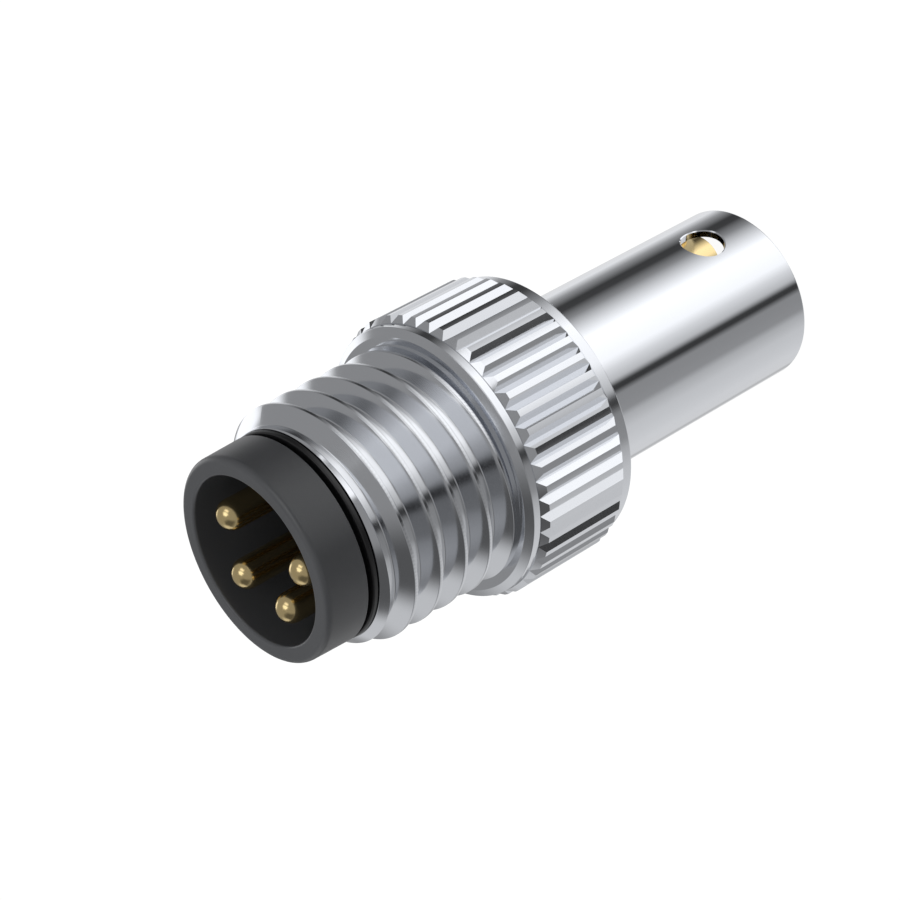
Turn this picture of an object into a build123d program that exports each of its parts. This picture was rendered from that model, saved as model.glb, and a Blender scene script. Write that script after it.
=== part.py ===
# Circular plug insert with a coupling screw, four contacts and a shield sleeve.
# Sizes are in millimetres. Z runs along the plug from the open end of the
# sleeve (0) to the contact face, and the hole in the sleeve looks to -Y.
from build123d import *
import math
import os

os.makedirs("parts", exist_ok=True)

# Shield sleeve: thin tube with a small flange that holds the coupling screw.
sleeve_r = 3.0
sleeve_wall = 0.25
sleeve_length = 12.3
sleeve_flange_r = 3.25
sleeve_flange_thickness = 0.4
sleeve_hole_r = 0.76
sleeve_hole_z = 2.07

# Coupling screw: knurled grip, plain shoulder, threaded nose.
screw_rear_z = 9.82
rim_edge_r = 4.535
rim_length = 0.38
grip_r = 4.75
groove_floor_r = 4.57
groove_count = 48
groove_turn = -0.88
crest_width = 0.163
groove_rear_z = 10.24
grip_front_z = 13.53
shoulder_r = 4.55
shoulder_rear_z = 13.73
shoulder_front_z = 13.97
shoulder_face_r = 4.28
shoulder_face_z = 14.14
nose_edge_r = 3.45

# Nose, at the outer radius of its 8 mm thread.
thread_major_r = 4.0

# Contact carrier: one moulding with the collar, the neck and the rear stub.
neck_running_gap = 0.06
screw_bore_r = 3.12
screw_end_gap = 0.1
collar_rear_r = 3.42
collar_front_r = 3.375
carrier_front_z = 21.15
collar_length = 1.55
collar_gap = 0.39
collar_edge_round = 0.19
cavity_edge_round = 0.09
cavity_r = 2.78
cavity_depth = 6.15
stub_rear_z = 5.0
counterbore_gap = 0.3

# Seal ring in the gap between the collar and the front of the screw.
ring_thickness = 0.2
ring_width = 0.37
ring_edge_bevel = 0.06
ring_seat_gap = 0.01

# Contacts: round pin with a dome, wider body in the carrier, round solder cup.
pin_r = 0.5
pin_tip_recess = 0.12
contact_body_r = 0.75
contact_shoulder_z = 13.8
cup_r = 0.93
cup_bore_r = 0.65
cup_depth = 3.2
cup_end_z = 0.03
contact_circle_r = 1.75
near_half_angle = 36.0
far_half_angle = 105.6

# Length by which a cut runs past the material on each side.
cut_overrun = 1.0

# Values that follow from the sizes above.
collar_rear_z = carrier_front_z - collar_length
screw_front_z = collar_rear_z - collar_gap
cavity_floor_z = carrier_front_z - cavity_depth
sleeve_bore_r = sleeve_r - sleeve_wall
neck_r = screw_bore_r - neck_running_gap
screw_shoulder_z = sleeve_length + screw_end_gap
counterbore_r = sleeve_flange_r + counterbore_gap
pin_tip_z = carrier_front_z - pin_tip_recess
nose_edge_z = screw_front_z - (thread_major_r - nose_edge_r)
groove_gap_half = math.pi * grip_r / groove_count - crest_width / 2
groove_slope = groove_gap_half / (grip_r - groove_floor_r)
ring_rear_z = screw_front_z + ring_seat_gap
ring_front_z = ring_rear_z + ring_thickness
ring_outer_r = neck_r + ring_width

# The two near contacts stand on the +Y side, the two far ones beside the hole.
contact_angles = (90 - near_half_angle, 90 + near_half_angle,
                  90 + far_half_angle, 90 - far_half_angle)
contact_places = []
for angle in contact_angles:
    along = math.radians(angle)
    contact_places.append((contact_circle_r * math.cos(along),
                           contact_circle_r * math.sin(along)))

# Shield sleeve, turned from its half section and drilled from the side.
with BuildPart() as shield_sleeve:
    with BuildSketch(Plane.XZ):
        with BuildLine():
            Polyline((sleeve_bore_r, 0),
                     (sleeve_r, 0),
                     (sleeve_r, sleeve_length - sleeve_flange_thickness),
                     (sleeve_flange_r, sleeve_length - sleeve_flange_thickness),
                     (sleeve_flange_r, sleeve_length),
                     (sleeve_bore_r, sleeve_length),
                     close=True)
        make_face()
    revolve(axis=Axis.Z)
    with BuildSketch(Plane.XZ):
        with Locations((0, sleeve_hole_z)):
            Circle(sleeve_hole_r)
    extrude(amount=sleeve_r + cut_overrun, mode=Mode.SUBTRACT)
shield_sleeve.part.label = "shield_sleeve"
export_step(shield_sleeve.part, "parts/shield_sleeve.step")

# Contact carrier, with the open cavity at the front and a hole for each contact.
with BuildPart() as contact_carrier:
    with BuildSketch(Plane.XZ):
        with BuildLine():
            Polyline((0, stub_rear_z),
                     (sleeve_bore_r, stub_rear_z),
                     (sleeve_bore_r, sleeve_length),
                     (neck_r, sleeve_length),
                     (neck_r, collar_rear_z),
                     (collar_rear_r, collar_rear_z),
                     (collar_front_r, carrier_front_z),
                     (cavity_r, carrier_front_z),
                     (cavity_r, cavity_floor_z),
                     (0, cavity_floor_z),
                     close=True)
        section = make_face()
        front = section.vertices().group_by(Axis.Z)[-1].sort_by(Axis.X)
        fillet(front[-1], radius=collar_edge_round)
        fillet(front[0], radius=cavity_edge_round)
    revolve(axis=Axis.Z)
    with BuildSketch(Plane.XY.offset(cavity_floor_z + cut_overrun)):
        with Locations(*contact_places):
            Circle(pin_r)
    extrude(amount=stub_rear_z - cavity_floor_z - 2 * cut_overrun, mode=Mode.SUBTRACT)
    with BuildSketch(Plane.XY.offset(contact_shoulder_z)):
        with Locations(*contact_places):
            Circle(contact_body_r)
    extrude(amount=stub_rear_z - contact_shoulder_z - cut_overrun, mode=Mode.SUBTRACT)
contact_carrier.part.label = "contact_carrier"
export_step(contact_carrier.part, "parts/contact_carrier.step")

# Contacts: turned from one half section, the same for all four.
with BuildPart() as contact_blank:
    with BuildSketch(Plane.XZ):
        with BuildLine():
            tip_start = (pin_r, pin_tip_z - pin_r)
            tip_end = (0, pin_tip_z)
            Polyline((0, cup_end_z + cup_depth),
                     (cup_bore_r, cup_end_z + cup_depth),
                     (cup_bore_r, cup_end_z),
                     (cup_r, cup_end_z),
                     (cup_r, stub_rear_z),
                     (contact_body_r, stub_rear_z),
                     (contact_body_r, contact_shoulder_z),
                     (pin_r, contact_shoulder_z),
                     tip_start)
            RadiusArc(tip_start, tip_end, -pin_r)
            Line(tip_end, (0, cup_end_z + cup_depth))
        make_face()
    revolve(axis=Axis.Z)

for number, place in enumerate(contact_places, start=1):
    name = "contact_" + str(number)
    with BuildPart() as contact:
        with Locations(place):
            add(contact_blank.part)
    contact.part.label = name
    export_step(contact.part, "parts/" + name + ".step")

# Seal ring on the neck, with its outer edges broken.
with BuildPart() as seal_ring:
    with BuildSketch(Plane.XZ):
        with BuildLine():
            Polyline((neck_r, ring_rear_z),
                     (ring_outer_r, ring_rear_z),
                     (ring_outer_r, ring_front_z),
                     (neck_r, ring_front_z),
                     close=True)
        band = make_face()
        chamfer(band.vertices().group_by(Axis.X)[-1], length=ring_edge_bevel)
    revolve(axis=Axis.Z)
seal_ring.part.label = "seal_ring"
export_step(seal_ring.part, "parts/seal_ring.step")

# Coupling screw: grip with a straight knurl, shoulder and nose.
with BuildPart() as coupling_screw:
    with BuildSketch(Plane.XZ):
        with BuildLine():
            Polyline((counterbore_r, screw_rear_z),
                     (rim_edge_r, screw_rear_z),
                     (grip_r, screw_rear_z + rim_length),
                     (grip_r, grip_front_z),
                     (groove_floor_r, shoulder_rear_z),
                     (shoulder_r, shoulder_rear_z),
                     (shoulder_r, shoulder_front_z),
                     (shoulder_face_r, shoulder_face_z),
                     (thread_major_r, shoulder_face_z),
                     (thread_major_r, nose_edge_z),
                     (nose_edge_r, screw_front_z),
                     (screw_bore_r, screw_front_z),
                     (screw_bore_r, screw_shoulder_z),
                     (counterbore_r, screw_shoulder_z),
                     close=True)
        make_face()
    revolve(axis=Axis.Z)
    with BuildSketch(Plane.XY.offset(groove_rear_z)):
        with PolarLocations(0, groove_count, start_angle=groove_turn):
            reach = 2 * (grip_r - groove_floor_r)
            Polygon((groove_floor_r, 0),
                    (groove_floor_r + reach, reach * groove_slope),
                    (groove_floor_r + reach, -reach * groove_slope),
                    align=None)
    extrude(amount=shoulder_rear_z - groove_rear_z, mode=Mode.SUBTRACT)
coupling_screw.part.label = "coupling_screw"
export_step(coupling_screw.part, "parts/coupling_screw.step")
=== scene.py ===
"""Looks of a circular plug insert: turned, knurled and threaded nickel-plated coupling screw,
bright shield sleeve, black contact carrier, four gold-plated contacts and a seal ring."""

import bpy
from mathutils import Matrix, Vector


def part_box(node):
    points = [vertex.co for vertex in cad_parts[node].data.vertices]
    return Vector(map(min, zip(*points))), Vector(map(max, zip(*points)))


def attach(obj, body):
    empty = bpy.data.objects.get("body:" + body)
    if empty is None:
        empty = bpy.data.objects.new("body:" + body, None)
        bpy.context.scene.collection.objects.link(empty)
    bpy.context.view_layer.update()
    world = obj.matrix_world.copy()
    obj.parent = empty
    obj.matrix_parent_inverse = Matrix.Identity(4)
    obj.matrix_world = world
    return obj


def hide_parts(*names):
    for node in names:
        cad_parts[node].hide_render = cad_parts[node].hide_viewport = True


bl_info = {
    "name": "Circular plug insert",
    "version": (1, 0, 0),
    "blender": (4, 5, 0),
    "location": "View3D > Sidebar > Plug",
    "description": "Builds the visible pieces of a circular plug insert around its packed solids",
    "category": "Object",
}

import math

import bpy
from bpy.props import FloatProperty, FloatVectorProperty, IntProperty, PointerProperty
from mathutils import Matrix, Vector

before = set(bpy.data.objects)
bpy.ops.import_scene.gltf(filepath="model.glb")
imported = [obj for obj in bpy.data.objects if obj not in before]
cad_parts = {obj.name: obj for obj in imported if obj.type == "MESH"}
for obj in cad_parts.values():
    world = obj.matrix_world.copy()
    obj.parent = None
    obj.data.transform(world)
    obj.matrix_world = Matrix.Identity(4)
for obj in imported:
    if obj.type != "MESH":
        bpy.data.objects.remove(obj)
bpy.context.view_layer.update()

MM = 0.001
MICRON = 0.001 * MM

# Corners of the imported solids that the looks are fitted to.
SCREW_LOW, SCREW_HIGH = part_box("coupling_screw")
SLEEVE_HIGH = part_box("shield_sleeve")[1]
CARRIER_LOW, CARRIER_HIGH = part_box("contact_carrier")
RING_LOW, RING_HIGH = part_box("seal_ring")

# Names of the contacts, and the sizes that they share with their holes in the carrier.
CONTACTS = ("contact_1", "contact_2", "contact_3", "contact_4")
PIN_RADIUS = 0.5 * MM
BODY_RADIUS = 0.75 * MM
BODY_FRONT = 13.8 * MM


def linear(code):
    """Linear colour, with alpha, of an sRGB hex value such as 'C8C9CB'."""
    channels = [int(code[i:i + 2], 16) / 255 for i in (0, 2, 4)]
    return tuple(c / 12.92 if c <= 0.04045 else ((c + 0.055) / 1.055) ** 2.4 for c in channels) + (1.0,)


def add_node(tree, kind, inputs=None, **settings):
    """Adds a node to a tree, with its settings, and its inputs as values or as sockets to link from."""
    node = tree.nodes.new(kind)
    for key, value in settings.items():
        setattr(node, key, value)
    for key, value in (inputs or {}).items():
        if isinstance(value, bpy.types.NodeSocket):
            tree.links.new(value, node.inputs[key])
        else:
            node.inputs[key].default_value = value
    return node


def arithmetic(tree, operation, first, second=0.0, third=0.0):
    """Adds a Math node to a tree and gives its result."""
    return add_node(tree, "ShaderNodeMath", {0: first, 1: second, 2: third}, operation=operation).outputs[0]


def length(name, description, default):
    return FloatProperty(name=name, description=description, default=default, unit="LENGTH", precision=6)


def colour(name, description, code):
    return FloatVectorProperty(name=name, description=description, default=linear(code), size=4,
                               subtype="COLOR", min=0, max=1)


# Sizes and colours that a user would change.

class ScrewSizes(bpy.types.PropertyGroup):
    grip_radius: length("Grip radius", "Radius over the crests of the knurl", SCREW_HIGH.x)
    rear: length("Rear", "Height of the rear face", SCREW_LOW.z)
    front: length("Front", "Height of the front face", SCREW_HIGH.z)
    knurl_count: IntProperty(name="Knurl grooves", description="Number of grooves round the grip", default=48)
    knurl_depth: length("Knurl depth", "Depth of a groove under the crests", 0.197 * MM)
    knurl_crest: length("Knurl crest", "Width of the land between two grooves", 0.2 * MM)
    knurl_start: length("Knurl start", "Height at which the grip rises from its rear rim", 10.2 * MM)
    grip_front: length("Grip front", "Height at which the grip's front bevel begins", 13.53 * MM)
    shoulder_radius: length("Shoulder radius", "Radius of the shoulder and of the rear rim", 4.55 * MM)
    shoulder_rear: length("Shoulder rear", "Height of the rear edge of the shoulder", 13.73 * MM)
    shoulder_front: length("Shoulder front", "Height at which the shoulder's bevel begins", 14.01 * MM)
    shoulder_face: length("Shoulder face", "Height of the face that the thread ends at", 14.14 * MM)
    bore: length("Bore", "Radius of the bore that runs on the carrier's neck", 3.12 * MM)
    thread_radius: length("Thread radius", "Outer radius of the thread", 4.0 * MM)
    thread_pitch: length("Thread pitch", "Rise of the thread in one turn", 1.0 * MM)
    thread_crest: length("Thread crest", "Width of the thread's crests over their rounded edges", 0.125 * MM)
    thread_depth: length("Thread depth", "Depth of the thread from crest to root", 0.541 * MM)
    metal: colour("Nickel", "Colour of the nickel plating", "E2E4E8")


class SleeveSizes(bpy.types.PropertyGroup):
    radius: length("Radius", "Outer radius of the tube", 3.0 * MM)
    wall: length("Wall", "Thickness of the tube's wall", 0.25 * MM)
    hole_radius: length("Hole radius", "Radius of the hole in the side", 0.76 * MM)
    hole_height: length("Hole height", "Height of the middle of the hole", 2.07 * MM)
    metal: colour("Bright nickel", "Colour of the bright nickel plating", "E6E8EC")


class CarrierSizes(bpy.types.PropertyGroup):
    front: length("Front", "Height of the front face", CARRIER_HIGH.z)
    cavity_radius: length("Cavity radius", "Radius of the cavity round the pins", 2.78 * MM)
    cavity_floor: length("Cavity floor", "Height of the cavity's floor", 15.0 * MM)
    collar_rear: length("Collar rear", "Height of the collar's rear face", 19.6 * MM)
    neck_radius: length("Neck radius", "Radius of the neck under the screw and the ring", 3.06 * MM)
    front_round: length("Front round", "Radius of the collar's outer front edge", 0.19 * MM)
    cavity_round: length("Cavity round", "Radius of the cavity's front edge", 0.09 * MM)
    plastic: colour("Plastic", "Colour of the black moulded plastic", "3C3D3F")


class ContactSizes(bpy.types.PropertyGroup):
    pin_radius: length("Pin radius", "Radius of a pin", PIN_RADIUS)
    cup_radius: length("Cup radius", "Outer radius of a solder cup", 0.93 * MM)
    cup_bore: length("Cup bore", "Radius of the bore of a solder cup", 0.65 * MM)
    metal: colour("Gold", "Colour of the gold plating", "F4DBA2")


class RingSizes(bpy.types.PropertyGroup):
    section_round: length("Section round", "Radius of the ring's outer edges", 0.06 * MM)
    rubber: colour("Rubber", "Colour of the seal ring", "101011")


class StageSizes(bpy.types.PropertyGroup):
    floor_size: length("Floor size", "Side of the square floor", 1.2)
    aim: FloatVectorProperty(name="Aim", description="Point that the camera looks at", size=3, precision=6,
                             subtype="TRANSLATION", default=(0.06 * MM, -0.05 * MM, 13.16 * MM))
    distance: length("Camera distance", "Distance of the camera from the point that it looks at", 84.47 * MM)
    azimuth: FloatProperty(name="Camera azimuth", description="Angle of the camera round the plug, from +X",
                           default=math.radians(-132.5), subtype="ANGLE")
    elevation: FloatProperty(name="Camera elevation", description="Angle of the camera above the floor",
                             default=math.radians(33.174), subtype="ANGLE")
    roll: FloatProperty(name="Camera roll", description="Turn of the camera about its own line of sight",
                        default=math.radians(-118.977), subtype="ANGLE")
    lens: FloatProperty(name="Lens", description="Focal length in millimetres, on a sensor 36 mm wide",
                        default=108.83)
    floor_colour: colour("Floor colour", "Colour of the floor", "F4F4F4")


# Mesh helpers.

def new_object(name, data):
    obj = bpy.data.objects.new(name, data)
    bpy.context.scene.collection.objects.link(obj)
    return obj


def rounded(points, steps=5):
    """Outline of (radius, height) points, where a third number on a point is the radius of its round.

    A point just past each end of a round keeps the flat beside it flat under smooth shading.
    """
    past_round = 1.25
    outline = []
    count = len(points)
    for i, point in enumerate(points):
        corner = Vector(point[:2])
        if len(point) == 2:
            outline.append(corner)
            continue
        to_last = (Vector(points[i - 1][:2]) - corner).normalized()
        to_next = (Vector(points[(i + 1) % count][:2]) - corner).normalized()
        half = to_last.angle(to_next) / 2
        setback = point[2] / math.tan(half)
        centre = corner + (to_last + to_next).normalized() * point[2] / math.sin(half)
        first = corner + to_last * setback - centre
        sweep = first.angle_signed(corner + to_next * setback - centre)
        outline.append(corner + to_last * setback * past_round)
        for step in range(steps + 1):
            outline.append(centre + Matrix.Rotation(-sweep * step / steps, 2) @ first)
        outline.append(corner + to_next * setback * past_round)
    return outline


def revolved(name, outline, segments, closed=True):
    """Solid of revolution about Z. An outline that isn't closed starts and ends on the axis."""
    verts = []
    rows = []
    for radius, height in outline:
        if radius == 0:
            rows.append([len(verts)] * segments)
            verts.append((0, 0, height))
            continue
        rows.append(list(range(len(verts), len(verts) + segments)))
        for j in range(segments):
            angle = 2 * math.pi * j / segments
            verts.append((radius * math.cos(angle), radius * math.sin(angle), height))
    faces = []
    for i in range(len(rows) if closed else len(rows) - 1):
        low, high = rows[i], rows[(i + 1) % len(rows)]
        for j in range(segments):
            k = (j + 1) % segments
            corners = [low[j], low[k], high[k], high[j]]
            faces.append(list(dict.fromkeys(corners)))
    return closed_mesh(name, verts, [face for face in faces if len(face) > 2])


def closed_mesh(name, verts, faces):
    """Mesh whose faces close it, turned so that they point outwards."""
    mesh = bpy.data.meshes.new(name)
    mesh.from_pydata(verts, [], faces)
    mesh.update()
    volume = 0.0
    for polygon in mesh.polygons:
        corners = [mesh.vertices[v].co for v in polygon.vertices]
        for i in range(1, len(corners) - 1):
            volume += corners[0].dot(corners[i].cross(corners[i + 1]))
    if volume < 0:
        mesh.flip_normals()
    return mesh


def apply_modifiers(obj):
    """Turns an object's modifiers into a plain mesh."""
    graph = bpy.context.evaluated_depsgraph_get()
    mesh = bpy.data.meshes.new_from_object(obj.evaluated_get(graph))
    obj.modifiers.clear()
    obj.data = mesh


def cut(obj, cutter):
    """Subtracts the cutter from the object and removes the cutter."""
    modifier = obj.modifiers.new("Cut", "BOOLEAN")
    modifier.operation = "DIFFERENCE"
    modifier.solver = "EXACT"
    modifier.object = cutter
    apply_modifiers(obj)
    bpy.data.objects.remove(cutter)


def smooth(obj, degrees):
    """Smooth shading, with edges sharp past an angle in degrees."""
    mesh = obj.data
    mesh.polygons.foreach_set("use_smooth", [True] * len(mesh.polygons))
    mesh.set_sharp_from_angle(angle=math.radians(degrees))
    mesh.update()


def dress(obj, material, body, slot, *nodes):
    """Gives a finished piece its material, its body and the solids that it stands for."""
    obj.data.materials.clear()
    obj.data.materials.append(material)
    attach(obj, body)
    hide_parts(*nodes)


# Materials.

def new_material(name):
    material = bpy.data.materials.new(name)
    material.use_nodes = True
    tree = material.node_tree
    tree.nodes.clear()
    output = add_node(tree, "ShaderNodeOutputMaterial")
    return material, tree, output


def turned_metal(name, base, roughness, spread, line_width, line_depth, along_axis=False):
    """Plated metal with the fine lines that turning or drawing leaves: round the axis, or along it."""
    material, tree, output = new_material(name)
    place = add_node(tree, "ShaderNodeTexCoord").outputs["Object"]
    # A line is this many times as long as it is wide.
    length_ratio = 60
    fine = 1 / line_width
    coarse = fine / length_ratio
    stretch = (fine, fine, coarse) if along_axis else (coarse, coarse, fine)
    mapping = add_node(tree, "ShaderNodeMapping", {"Vector": place, "Scale": stretch})
    lines = add_node(tree, "ShaderNodeTexNoise", {"Vector": mapping.outputs[0], "Scale": 1.0, "Detail": 3.0})
    patches = add_node(tree, "ShaderNodeTexNoise", {"Vector": place, "Scale": 0.9 / MM, "Detail": 2.0})
    both = arithmetic(tree, "ADD", lines.outputs["Fac"], patches.outputs["Fac"])
    rough = add_node(tree, "ShaderNodeMapRange", {"Value": both, "From Min": 0.6, "From Max": 1.4,
                                                  "To Min": roughness - spread, "To Max": roughness + spread})
    bump = add_node(tree, "ShaderNodeBump", {"Height": lines.outputs["Fac"], "Strength": 1.0,
                                             "Distance": line_depth})
    shader = add_node(tree, "ShaderNodeBsdfPrincipled", {"Base Color": base, "Metallic": 1.0,
                                                         "Roughness": rough.outputs[0],
                                                         "Normal": bump.outputs[0]})
    tree.links.new(shader.outputs[0], output.inputs["Surface"])
    return material


def nickel_plating(base):
    """Nickel plating over turned brass: a cool grey mirror, slightly satin from the turning lines."""
    return turned_metal("nickel_plating_on_turned_brass", base, roughness=0.12, spread=0.02,
                        line_width=0.05 * MM, line_depth=0.02 * MICRON)


def bright_nickel(base):
    """Bright nickel over a drawn tube: a clear mirror with hardly any lines, along the tube."""
    return turned_metal("bright_nickel_on_drawn_tube", base, roughness=0.07, spread=0.015,
                        line_width=0.04 * MM, line_depth=0.01 * MICRON, along_axis=True)


def gold_plating(base):
    """Gold plating over turned brass: a warm mirror, a little softer than the nickel."""
    return turned_metal("gold_plating_on_turned_brass", base, roughness=0.19, spread=0.02,
                        line_width=0.04 * MM, line_depth=0.004 * MICRON)


def moulded_plastic(base):
    """Black nylon from a fine-blasted mould: satin, with a fine grain of 0.04 mm."""
    material, tree, output = new_material("moulded_black_nylon")
    place = add_node(tree, "ShaderNodeTexCoord").outputs["Object"]
    grain = add_node(tree, "ShaderNodeTexNoise", {"Vector": place, "Scale": 1 / (0.04 * MM), "Detail": 2.0})
    cloud = add_node(tree, "ShaderNodeTexNoise", {"Vector": place, "Scale": 0.6 / MM, "Detail": 2.0})
    shade = add_node(tree, "ShaderNodeMapRange", {"Value": cloud.outputs["Fac"], "To Min": 0.92,
                                                  "To Max": 1.08})
    tint = add_node(tree, "ShaderNodeVectorMath", {0: base[:3], 3: shade.outputs[0]}, operation="SCALE")
    rough = add_node(tree, "ShaderNodeMapRange", {"Value": grain.outputs["Fac"], "To Min": 0.27,
                                                  "To Max": 0.35})
    bump = add_node(tree, "ShaderNodeBump", {"Height": grain.outputs["Fac"], "Strength": 0.6,
                                             "Distance": 3 * MICRON})
    shader = add_node(tree, "ShaderNodeBsdfPrincipled", {"Base Color": tint.outputs[0], "IOR": 1.53,
                                                         "Roughness": rough.outputs[0],
                                                         "Normal": bump.outputs[0]})
    tree.links.new(shader.outputs[0], output.inputs["Surface"])
    return material


def seal_rubber(base):
    """Black nitrile rubber, moulded smooth: deep black with a soft gloss."""
    material, tree, output = new_material("moulded_nitrile_rubber")
    place = add_node(tree, "ShaderNodeTexCoord").outputs["Object"]
    skin = add_node(tree, "ShaderNodeTexNoise", {"Vector": place, "Scale": 1 / (0.15 * MM), "Detail": 2.0})
    rough = add_node(tree, "ShaderNodeMapRange", {"Value": skin.outputs["Fac"], "To Min": 0.26,
                                                  "To Max": 0.36})
    shader = add_node(tree, "ShaderNodeBsdfPrincipled", {"Base Color": base, "IOR": 1.52,
                                                         "Roughness": rough.outputs[0]})
    tree.links.new(shader.outputs[0], output.inputs["Surface"])
    return material


# Geometry Nodes trees of the coupling screw.

def new_tree(name, sockets):
    """Geometry Nodes tree with a geometry input and output and the named inputs, and its input sockets."""
    tree = bpy.data.node_groups.new(name, "GeometryNodeTree")
    tree.is_modifier = True
    tree.interface.new_socket("Geometry", in_out="INPUT", socket_type="NodeSocketGeometry")
    for label, kind in sockets:
        tree.interface.new_socket(label, in_out="INPUT", socket_type=kind)
    tree.interface.new_socket("Geometry", in_out="OUTPUT", socket_type="NodeSocketGeometry")
    return tree, add_node(tree, "NodeGroupInput").outputs


def use_tree(obj, tree, values):
    """Puts the tree on an object, with its inputs set by their identifiers."""
    modifier = obj.modifiers.new(tree.name, "NODES")
    modifier.node_group = tree
    for item in tree.interface.items_tree:
        if item.in_out == "INPUT" and item.name in values:
            modifier[item.identifier] = values[item.name]
    apply_modifiers(obj)


def end_tree(tree, geometry, material):
    """Ends a tree as the export needs it: real geometry with its material."""
    real = add_node(tree, "GeometryNodeRealizeInstances", {"Geometry": geometry})
    dressed = add_node(tree, "GeometryNodeSetMaterial", {"Geometry": real.outputs[0], "Material": material})
    add_node(tree, "NodeGroupOutput", {"Geometry": dressed.outputs[0]})


def knurl_tree():
    """Cuts one groove tool out of the grip at even steps round the axis."""
    tree, given = new_tree("Straight knurl", [("Groove tool", "NodeSocketObject"), ("Count", "NodeSocketInt"),
                                              ("Material", "NodeSocketMaterial")])
    tool = add_node(tree, "GeometryNodeObjectInfo", {"Object": given["Groove tool"]})
    points = add_node(tree, "GeometryNodeMeshLine", {"Count": given["Count"], "Offset": (0, 0, 0)})
    index = add_node(tree, "GeometryNodeInputIndex").outputs[0]
    turn = arithmetic(tree, "MULTIPLY", arithmetic(tree, "DIVIDE", index, given["Count"]), 2 * math.pi)
    rotation = add_node(tree, "ShaderNodeCombineXYZ", {"Z": turn})
    tools = add_node(tree, "GeometryNodeInstanceOnPoints", {"Points": points.outputs[0],
                                                            "Instance": tool.outputs["Geometry"],
                                                            "Rotation": rotation.outputs[0]})
    real = add_node(tree, "GeometryNodeRealizeInstances", {"Geometry": tools.outputs[0]})
    grip = add_node(tree, "GeometryNodeMeshBoolean", {"Mesh 1": given["Geometry"],
                                                      "Mesh 2": real.outputs[0]},
                    operation="DIFFERENCE", solver="EXACT")
    end_tree(tree, grip.outputs[0], given["Material"])
    return tree


def thread_tree():
    """Sweeps a groove profile along a helix, ends it at the shoulder and cuts it out of the nose."""
    tree, given = new_tree("Outside thread", [
        ("Profile", "NodeSocketObject"), ("Shoulder block", "NodeSocketObject"),
        ("Helix start", "NodeSocketFloat"), ("Turns", "NodeSocketFloat"), ("Pitch", "NodeSocketFloat"),
        ("Radius", "NodeSocketFloat"), ("Points a turn", "NodeSocketInt"), ("Material", "NodeSocketMaterial"),
    ])
    rise = arithmetic(tree, "MULTIPLY", given["Turns"], given["Pitch"])
    helix = add_node(tree, "GeometryNodeCurveSpiral", {"Resolution": given["Points a turn"],
                                                       "Rotations": given["Turns"],
                                                       "Start Radius": given["Radius"],
                                                       "End Radius": given["Radius"],
                                                       "Height": rise, "Reverse": True})
    upright = add_node(tree, "GeometryNodeSetCurveNormal", {"Curve": helix.outputs[0]}, mode="Z_UP")
    profile = add_node(tree, "GeometryNodeObjectInfo", {"Object": given["Profile"]})
    groove = add_node(tree, "GeometryNodeCurveToMesh", {"Curve": upright.outputs[0],
                                                        "Profile Curve": profile.outputs["Geometry"],
                                                        "Fill Caps": True})
    lift = add_node(tree, "ShaderNodeCombineXYZ", {"Z": given["Helix start"]})
    placed = add_node(tree, "GeometryNodeTransform", {"Geometry": groove.outputs[0],
                                                      "Translation": lift.outputs[0]})
    block = add_node(tree, "GeometryNodeObjectInfo", {"Object": given["Shoulder block"]})
    ended = add_node(tree, "GeometryNodeMeshBoolean", {"Mesh 1": placed.outputs[0],
                                                       "Mesh 2": block.outputs["Geometry"]},
                     operation="DIFFERENCE", solver="EXACT")
    nose = add_node(tree, "GeometryNodeMeshBoolean", {"Mesh 1": given["Geometry"],
                                                      "Mesh 2": ended.outputs[0]},
                    operation="DIFFERENCE", solver="EXACT")
    end_tree(tree, nose.outputs[0], given["Material"])
    return tree


def screw_blank(sizes):
    """Turned outline of the coupling screw before its knurl and thread are cut."""
    edge = 0.03 * MM
    rear_edge = 0.05 * MM
    rear_bevel = 0.2 * MM
    front_bevel = 0.18 * MM
    face_radius = 4.28 * MM
    cone = 0.55 * MM
    counterbore = 3.55 * MM
    counterbore_floor = 12.4 * MM
    outline = [
        (counterbore, sizes.rear),
        (sizes.shoulder_radius, sizes.rear, rear_edge),
        (sizes.shoulder_radius, sizes.knurl_start),
        (sizes.grip_radius, sizes.knurl_start + rear_bevel),
        (sizes.grip_radius, sizes.grip_front),
        (sizes.grip_radius - front_bevel, sizes.shoulder_rear),
        (sizes.shoulder_radius, sizes.shoulder_rear),
        (sizes.shoulder_radius, sizes.shoulder_front, edge),
        (face_radius, sizes.shoulder_face, edge),
        (sizes.thread_radius, sizes.shoulder_face),
        (sizes.thread_radius, sizes.front - cone),
        (sizes.thread_radius - cone, sizes.front, edge),
        (sizes.bore, sizes.front, edge),
        (sizes.bore, counterbore_floor),
        (counterbore, counterbore_floor),
    ]
    return revolved("coupling_screw", rounded(outline), segments=384)


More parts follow.
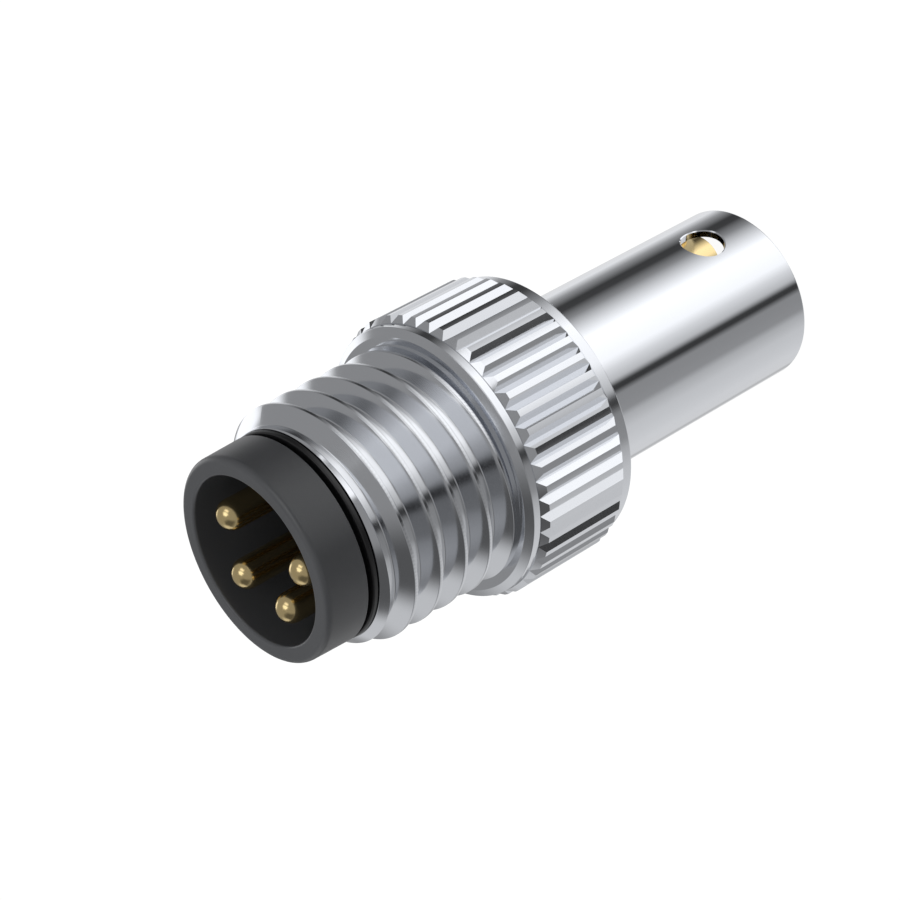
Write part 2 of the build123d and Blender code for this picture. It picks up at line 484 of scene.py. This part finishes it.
def groove_tool(sizes):
    """One V-shaped tool of the knurl, along the grip, with a small break of the crest's edges."""
    edge = 0.015 * MM
    over = 4 * edge
    first_groove = math.radians(-0.88)
    depth = sizes.knurl_depth
    half = math.pi * sizes.grip_radius / sizes.knurl_count - sizes.knurl_crest / 2
    floor = sizes.grip_radius - depth
    slope = half / depth
    top = floor + depth - edge
    section = [(floor, 0), (top, (top - floor) * slope)]
    section += [(sizes.grip_radius + edge, half + edge), (sizes.grip_radius + over, half + edge)]
    section += [(x, -y) for x, y in reversed(section[1:])]
    cos, sin = math.cos(first_groove), math.sin(first_groove)
    verts = []
    for z in (sizes.knurl_start - over, sizes.shoulder_rear + over):
        verts += [(x * cos - y * sin, x * sin + y * cos, z) for x, y in section]
    count = len(section)
    faces = [list(range(count)), list(range(count, 2 * count))[::-1]]
    for i in range(count):
        j = (i + 1) % count
        faces.append([j, i, count + i, count + j])
    return new_object("groove_tool", closed_mesh("groove_tool", verts, faces))


def thread_profile(sizes):
    """Groove of a 60 degree thread: root, two flanks and a small round on the edge of each crest."""
    edge = 0.035 * MM
    root_round = 0.05 * MM
    over = 0.1 * MM
    widen = 0.6 * edge
    steps = 5
    flank = math.tan(math.radians(30))
    half_top = (sizes.thread_pitch - sizes.thread_crest) / 2
    half_root = half_top - sizes.thread_depth * flank
    # Each corner is a depth and a distance from the groove's middle.
    corners = []
    for step in range(steps + 1):
        angle = math.radians(60 * step / steps)
        corners.append((edge * (1 - math.cos(angle)), half_top - edge * (math.sin(angle) - flank)))
    # A point on the flank, just past the round, keeps the flank flat under smooth shading.
    past_round = edge / 3
    corners.append((corners[-1][0] + past_round, corners[-1][1] - past_round * flank))
    side = [(sizes.thread_depth, half_root, root_round)] + corners[::-1] + [(-over, half_top + widen)]
    outline = rounded(side + [(p[0], -p[1]) + p[2:] for p in reversed(side)])
    curve = bpy.data.curves.new("thread_profile", "CURVE")
    curve.dimensions = "3D"
    spline = curve.splines.new("POLY")
    spline.points.add(len(outline) - 1)
    for target, (x, y) in zip(spline.points, reversed(outline)):
        target.co = (-x, y, 0, 1)
    spline.use_cyclic_u = True
    return new_object("thread_profile", curve)


class PLUG_OT_coupling_screw(bpy.types.Operator):
    """Makes the coupling screw: turned blank, straight knurl and outside thread"""
    bl_idname = "plug.coupling_screw"
    bl_label = "Coupling screw"

    def execute(self, context):
        sizes = context.scene.plug_screw
        material = nickel_plating(sizes.metal)
        screw = new_object("coupling_screw_piece", screw_blank(sizes))
        tool = groove_tool(sizes)
        use_tree(screw, knurl_tree(), {"Groove tool": tool, "Count": sizes.knurl_count, "Material": material})
        profile = thread_profile(sizes)
        # The thread's grooves end this far in front of the shoulder's face.
        shoulder_gap = 0.08 * MM
        thread_end = sizes.shoulder_face + shoulder_gap
        wide = 2 * sizes.grip_radius
        block_outline = [(0, 0), (wide, 0), (wide, thread_end), (0, thread_end)]
        block_mesh = revolved("shoulder_block", block_outline, segments=64, closed=False)
        block = new_object("shoulder_block", block_mesh)
        # The middle of a groove crosses angle 0 at this height. The helix starts two pitches lower.
        groove_height = 14.255 * MM
        use_tree(screw, thread_tree(), {"Profile": profile, "Shoulder block": block,
                                        "Helix start": groove_height - 2 * sizes.thread_pitch,
                                        "Turns": 8.0, "Pitch": sizes.thread_pitch,
                                        "Radius": sizes.thread_radius, "Points a turn": 192,
                                        "Material": material})
        for helper in (tool, profile, block):
            bpy.data.objects.remove(helper)
        smooth(screw, degrees=25)
        dress(screw, material, "screw", "nickel_plating", "coupling_screw")
        return {"FINISHED"}


def hole_tool(sizes):
    """Drill for the hole in the sleeve's side, with a lip that breaks the curved edge evenly."""
    lip = 0.035 * MM
    over = 0.05 * MM
    count = 96
    inner = sizes.hole_radius - lip
    # Each ring is a radius and a depth under the tube's surface.
    rings = ((sizes.hole_radius + over, -over), (inner, lip), (inner, sizes.radius / 2))
    verts = []
    for radius, depth in rings:
        for step in range(count):
            angle = 2 * math.pi * step / count
            x, z = radius * math.cos(angle), radius * math.sin(angle)
            verts.append((x, depth - math.sqrt(sizes.radius ** 2 - x ** 2), sizes.hole_height + z))
    faces = []
    for ring in range(len(rings) - 1):
        for step in range(count):
            after = (step + 1) % count
            faces.append([ring * count + step, ring * count + after,
                          (ring + 1) * count + after, (ring + 1) * count + step])
    for ring in (0, len(rings) - 1):
        middle = len(verts)
        verts.append((0, rings[ring][1] - sizes.radius, sizes.hole_height))
        for step in range(count):
            faces.append([ring * count + step, ring * count + (step + 1) % count, middle])
    return new_object("hole_tool", closed_mesh("hole_tool", verts, faces))


class PLUG_OT_shield_sleeve(bpy.types.Operator):
    """Makes the shield sleeve: thin bright tube with a hole in its side"""
    bl_idname = "plug.shield_sleeve"
    bl_label = "Shield sleeve"

    def execute(self, context):
        sizes = context.scene.plug_sleeve
        edge = 0.04 * MM
        flange_thickness = 0.4 * MM
        rows = 24
        bore = sizes.radius - sizes.wall
        flange = SLEEVE_HIGH.x
        top = SLEEVE_HIGH.z
        flange_rear = top - flange_thickness
        step = flange_rear / rows
        outline = [(bore, 0, edge), (sizes.radius, 0, edge)]
        outline += [(sizes.radius, step * i) for i in range(1, rows + 1)]
        outline += [(flange, flange_rear), (flange, top), (bore, top)]
        outline += [(bore, step * i) for i in range(rows - 1, 0, -1)]
        mesh = revolved("shield_sleeve", rounded(outline, steps=3), segments=320)
        sleeve = new_object("shield_sleeve_piece", mesh)
        cut(sleeve, hole_tool(sizes))
        smooth(sleeve, degrees=30)
        dress(sleeve, bright_nickel(sizes.metal), "plug_body", "nickel_sheet", "shield_sleeve")
        return {"FINISHED"}


def stand_at_contact(obj, name):
    """Moves a piece made round Z to the place of a contact."""
    low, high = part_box(name)
    middle = (low + high) / 2
    obj.data.transform(Matrix.Translation((middle.x, middle.y, 0)))


class PLUG_OT_contact_carrier(bpy.types.Operator):
    """Makes the contact carrier: collar, cavity, neck and stub, with a hole for each contact"""
    bl_idname = "plug.contact_carrier"
    bl_label = "Contact carrier"

    def execute(self, context):
        sizes = context.scene.plug_carrier
        stub_radius = 2.75 * MM
        stub_front = 12.3 * MM
        collar_rear_radius = 3.42 * MM
        collar_front_radius = 3.375 * MM
        rear_round = 0.05 * MM
        floor_round = 0.1 * MM
        outline = [
            (0, CARRIER_LOW.z),
            (stub_radius, CARRIER_LOW.z),
            (stub_radius, stub_front),
            (sizes.neck_radius, stub_front),
            (sizes.neck_radius, sizes.collar_rear),
            (collar_rear_radius, sizes.collar_rear, rear_round),
            (collar_front_radius, sizes.front, sizes.front_round),
            (sizes.cavity_radius, sizes.front, sizes.cavity_round),
            (sizes.cavity_radius, sizes.cavity_floor, floor_round),
            (0, sizes.cavity_floor),
        ]
        mesh = revolved("contact_carrier", rounded(outline, steps=8), segments=192, closed=False)
        carrier = new_object("contact_carrier_piece", mesh)
        gap = 0.01 * MM
        wide, narrow = BODY_RADIUS + gap, PIN_RADIUS + gap
        end = 17 * MM
        shape = [(0, 0), (wide, 0), (wide, BODY_FRONT), (narrow, BODY_FRONT), (narrow, end), (0, end)]
        for name in CONTACTS:
            drill = new_object("drill", revolved("drill", shape, segments=48, closed=False))
            stand_at_contact(drill, name)
            cut(carrier, drill)
        smooth(carrier, degrees=30)
        dress(carrier, moulded_plastic(sizes.plastic), "plug_body", "carrier_plastic", "contact_carrier")
        return {"FINISHED"}


class PLUG_OT_contacts(bpy.types.Operator):
    """Makes the four contacts: domed pins with round solder cups"""
    bl_idname = "plug.contacts"
    bl_label = "Contacts"

    def execute(self, context):
        sizes = context.scene.plug_contacts
        material = gold_plating(sizes.metal)
        edge = 0.02 * MM
        cup_depth = 3.2 * MM
        cup_front = 5.0 * MM
        steps = 16
        for name in CONTACTS:
            low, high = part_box(name)
            cup_floor = low.z + cup_depth
            outline = rounded([
                (0, cup_floor),
                (sizes.cup_bore, cup_floor),
                (sizes.cup_bore, low.z, edge),
                (sizes.cup_radius, low.z, edge),
                (sizes.cup_radius, cup_front),
                (BODY_RADIUS, cup_front),
                (BODY_RADIUS, BODY_FRONT),
                (sizes.pin_radius, BODY_FRONT),
            ], steps=3)
            dome = high.z - sizes.pin_radius
            for step in range(steps):
                angle = math.pi / 2 * step / steps
                radius = sizes.pin_radius * math.cos(angle)
                outline.append(Vector((radius, dome + sizes.pin_radius * math.sin(angle))))
            outline.append(Vector((0, high.z)))
            contact = new_object(name + "_piece", revolved(name, outline, segments=64, closed=False))
            stand_at_contact(contact, name)
            smooth(contact, degrees=30)
            dress(contact, material, "plug_body", "gold_plating", name)
        return {"FINISHED"}


class PLUG_OT_seal_ring(bpy.types.Operator):
    """Makes the seal ring in the gap behind the collar"""
    bl_idname = "plug.seal_ring"
    bl_label = "Seal ring"

    def execute(self, context):
        sizes = context.scene.plug_ring
        bore = context.scene.plug_carrier.neck_radius
        outline = [
            (bore, RING_LOW.z),
            (RING_HIGH.x, RING_LOW.z, sizes.section_round),
            (RING_HIGH.x, RING_HIGH.z, sizes.section_round),
            (bore, RING_HIGH.z),
        ]
        ring = new_object("seal_ring_piece", revolved("seal_ring", rounded(outline, steps=6), segments=192))
        smooth(ring, degrees=40)
        dress(ring, seal_rubber(sizes.rubber), "plug_body", "seal_rubber", "seal_ring")
        return {"FINISHED"}


# Stage: floor, studio panels and camera.

# Soft panels low in the studio, by angle round the plug: (degrees, level). 0 is +X and 90 is +Y.
LOW_PANELS = (
    (-180, 0.3), (-170, 0.29), (-163, 0.045), (-158, 0.05), (-151, 0.58), (-138, 0.83), (-126, 1.2),
    (-90, 1.35), (-76, 0.93), (-54, 0.29), (-38, 0.055), (-28, 0.05), (-10, 0.34), (8, 0.88), (30, 0.8),
    (60, 0.75), (72, 0.48), (82, 0.72), (104, 0.74), (142, 0.65), (160, 0.5), (168, 0.32), (180, 0.3),
)

# Panels above them: (angle round, height, half width, half height, soft edge, level), in degrees.
HIGH_PANELS = (
    (130, 45, 26, 14, 22, 0.10),
    (89, 14, 8, 14, 16, 0.64),
    (-105, -8, 20, 8, 12, 1.3),
    (-84, 66, 34, 7, 8, 1.35),
    (-81, 43, 18, 4, 4, 1.3),
    (21, 4, 7, 10, 10, 1.3),
)


def soft_step(tree, value, low, high):
    """0 to 1 as the value goes from low to high, smoothly."""
    node = add_node(tree, "ShaderNodeMapRange", {"Value": value, "From Min": low, "From Max": high},
                    interpolation_type="SMOOTHSTEP")
    return node.outputs[0]


def angle_from(tree, around, middle):
    """Angle between the direction round the plug and a middle one, from 0 to 180 degrees."""
    offset = arithmetic(tree, "WRAP", arithmetic(tree, "SUBTRACT", around, middle), 180.0, -180.0)
    return arithmetic(tree, "ABSOLUTE", offset)


def low_panels(tree, around):
    """Levels of the low panels by the angle round the plug, all halved, so that none is past 1."""
    share = arithmetic(tree, "DIVIDE", arithmetic(tree, "ADD", around, 180.0), 360.0)
    ramp = add_node(tree, "ShaderNodeValToRGB", {"Fac": share})
    stops = ramp.color_ramp
    stops.interpolation = "LINEAR"
    while len(stops.elements) > 1:
        stops.elements.remove(stops.elements[-1])
    for number, (angle, level) in enumerate(LOW_PANELS):
        place = (angle + 180) / 360
        stop = stops.elements[0] if number == 0 else stops.elements.new(place)
        stop.position = place
        stop.color = (level / 2, level / 2, level / 2, 1)
    return ramp.outputs["Color"]


def studio_world():
    """White room for the camera, and soft panels and dark flags round the plug for the light."""
    cool_white = (0.985, 0.99, 1.0, 1)
    room_level = 0.30
    # Heights in degrees: the low panels are bright up to the first, dimmed from the second
    # and fade out between the third and the fourth.
    bright_height = -33.0
    dimmed_height = -28.0
    fade_start = -14.0
    fade_end = -3.0
    # The gains double the halved levels. The second one also dims them.
    bright_gain = 2.0
    dimmed_gain = 1.24
    # On the side away from the camera, between +X and +Y, the low panels fade out lower by this drop.
    far_middle = 62.0
    far_inner = 44.0
    far_outer = 60.0
    far_drop = 12.0
    world = bpy.data.worlds.new("studio")
    bpy.context.scene.world = world
    world.use_nodes = True
    tree = world.node_tree
    tree.nodes.clear()
    output = add_node(tree, "ShaderNodeOutputWorld")
    way = add_node(tree, "ShaderNodeTexCoord").outputs["Generated"]
    parts = add_node(tree, "ShaderNodeSeparateXYZ", {0: way})
    to_degrees = 180 / math.pi
    around = arithmetic(tree, "ARCTAN2", parts.outputs["Y"], parts.outputs["X"])
    around = arithmetic(tree, "MULTIPLY", around, to_degrees)
    height = arithmetic(tree, "MULTIPLY", arithmetic(tree, "ARCSINE", parts.outputs["Z"]), to_degrees)
    gain = add_node(tree, "ShaderNodeMapRange", {"Value": height,
                                                 "From Min": bright_height, "From Max": dimmed_height,
                                                 "To Min": bright_gain, "To Max": dimmed_gain})
    low = arithmetic(tree, "MULTIPLY", low_panels(tree, around), gain.outputs[0])
    high = room_level
    for angle, rise, half_width, half_height, edge, level in HIGH_PANELS:
        sideways = soft_step(tree, angle_from(tree, around, angle), half_width + edge, half_width)
        lift = arithmetic(tree, "ABSOLUTE", arithmetic(tree, "SUBTRACT", height, rise))
        upwards = soft_step(tree, lift, half_height + edge, half_height)
        mask = arithmetic(tree, "MULTIPLY", sideways, upwards)
        high = add_node(tree, "ShaderNodeMix", {"Factor": mask, "A": high, "B": level}).outputs[0]
    far = soft_step(tree, angle_from(tree, around, far_middle), far_outer, far_inner)
    shifted = arithmetic(tree, "MULTIPLY_ADD", far, far_drop, height)
    blend = soft_step(tree, shifted, fade_end, fade_start)
    light = add_node(tree, "ShaderNodeMix", {"Factor": blend, "A": high, "B": low}).outputs[0]
    ray = add_node(tree, "ShaderNodeLightPath")
    seen = add_node(tree, "ShaderNodeMix", {"Factor": ray.outputs["Is Camera Ray"], "A": light, "B": 1.0})
    shade = add_node(tree, "ShaderNodeBackground", {"Color": cool_white, "Strength": seen.outputs[0]})
    tree.links.new(shade.outputs[0], output.inputs["Surface"])


def floor_paper(base):
    """White paper sweep: almost white to the camera, with the plug's soft shadow left in it."""
    glow = 1.06
    glow_share = 0.9
    material, tree, output = new_material("white_paper_sweep")
    place = add_node(tree, "ShaderNodeTexCoord").outputs["Object"]
    tooth = add_node(tree, "ShaderNodeTexNoise", {"Vector": place, "Scale": 1 / (0.3 * MM)})
    bump = add_node(tree, "ShaderNodeBump", {"Height": tooth.outputs["Fac"], "Distance": 10 * MICRON,
                                             "Strength": 0.1})
    paper = add_node(tree, "ShaderNodeBsdfDiffuse", {"Color": base, "Normal": bump.outputs[0]})
    white = add_node(tree, "ShaderNodeEmission", {"Color": (1, 1, 1, 1), "Strength": glow})
    ray = add_node(tree, "ShaderNodeLightPath")
    most = arithmetic(tree, "MULTIPLY", ray.outputs["Is Camera Ray"], glow_share)
    mix = add_node(tree, "ShaderNodeMixShader", {0: most, 1: paper.outputs[0], 2: white.outputs[0]})
    tree.links.new(mix.outputs[0], output.inputs["Surface"])
    return material


def overhead_lamp():
    """Round soft lamp over the plug that only fills the matt surfaces, mostly those that face up."""
    lamp = bpy.data.lights.new("overhead", "AREA")
    lamp.shape = "DISK"
    lamp.size = 240 * MM
    lamp.energy = 0.26
    holder = new_object("overhead", lamp)
    holder.location = (0, 0, 140 * MM)
    holder.visible_glossy = False
    holder.visible_camera = False


class PLUG_OT_stage(bpy.types.Operator):
    """Makes the floor, the studio light and the camera"""
    bl_idname = "plug.stage"
    bl_label = "Stage"

    def execute(self, context):
        sizes = context.scene.plug_stage
        half = sizes.floor_size / 2
        corners = [(-half, -half, 0), (half, -half, 0), (half, half, 0), (-half, half, 0)]
        mesh = bpy.data.meshes.new("floor")
        mesh.from_pydata(corners, [], [(0, 1, 2, 3)])
        floor = new_object("floor", mesh)
        mesh.materials.append(floor_paper(sizes.floor_colour))
        floor.visible_glossy = False
        studio_world()
        overhead_lamp()
        camera_data = bpy.data.cameras.new("camera")
        camera_data.lens = sizes.lens
        camera_data.sensor_width = 36
        camera_data.clip_start = MM
        camera = new_object("camera", camera_data)
        back = Vector((math.cos(sizes.elevation) * math.cos(sizes.azimuth),
                       math.cos(sizes.elevation) * math.sin(sizes.azimuth),
                       math.sin(sizes.elevation)))
        turn = back.to_track_quat("Z", "Y").to_matrix().to_4x4() @ Matrix.Rotation(sizes.roll, 4, "Z")
        camera.matrix_world = Matrix.Translation(sizes.aim + back * sizes.distance) @ turn
        context.scene.camera = camera
        context.scene.view_settings.view_transform = "Standard"
        return {"FINISHED"}


class PLUG_PT_panel(bpy.types.Panel):
    """Lists the plug's pieces in the sidebar"""
    bl_idname = "PLUG_PT_panel"
    bl_label = "Circular plug insert"
    bl_space_type = "VIEW_3D"
    bl_region_type = "UI"
    bl_category = "Plug"

    def draw(self, context):
        for operator in OPERATORS:
            self.layout.operator(operator.bl_idname)
        for name, kind in PROPERTIES.items():
            sizes = getattr(context.scene, name)
            box = self.layout.box()
            for key in kind.__annotations__:
                box.prop(sizes, key)


PROPERTIES = {
    "plug_screw": ScrewSizes,
    "plug_sleeve": SleeveSizes,
    "plug_carrier": CarrierSizes,
    "plug_contacts": ContactSizes,
    "plug_ring": RingSizes,
    "plug_stage": StageSizes,
}
OPERATORS = (PLUG_OT_stage, PLUG_OT_contact_carrier, PLUG_OT_contacts, PLUG_OT_seal_ring,
             PLUG_OT_shield_sleeve, PLUG_OT_coupling_screw)


def register():
    for kind in PROPERTIES.values():
        bpy.utils.register_class(kind)
    for operator in OPERATORS:
        bpy.utils.register_class(operator)
    bpy.utils.register_class(PLUG_PT_panel)
    for name, kind in PROPERTIES.items():
        setattr(bpy.types.Scene, name, PointerProperty(type=kind))


def unregister():
    for name in PROPERTIES:
        delattr(bpy.types.Scene, name)
    bpy.utils.unregister_class(PLUG_PT_panel)
    for operator in reversed(OPERATORS):
        bpy.utils.unregister_class(operator)
    for kind in reversed(list(PROPERTIES.values())):
        bpy.utils.unregister_class(kind)


def main():
    register()
    bpy.ops.plug.stage()
    bpy.ops.plug.contact_carrier()
    bpy.ops.plug.contacts()
    bpy.ops.plug.seal_ring()
    bpy.ops.plug.shield_sleeve()
    bpy.ops.plug.coupling_screw()


if __name__ == "__main__":
    main()
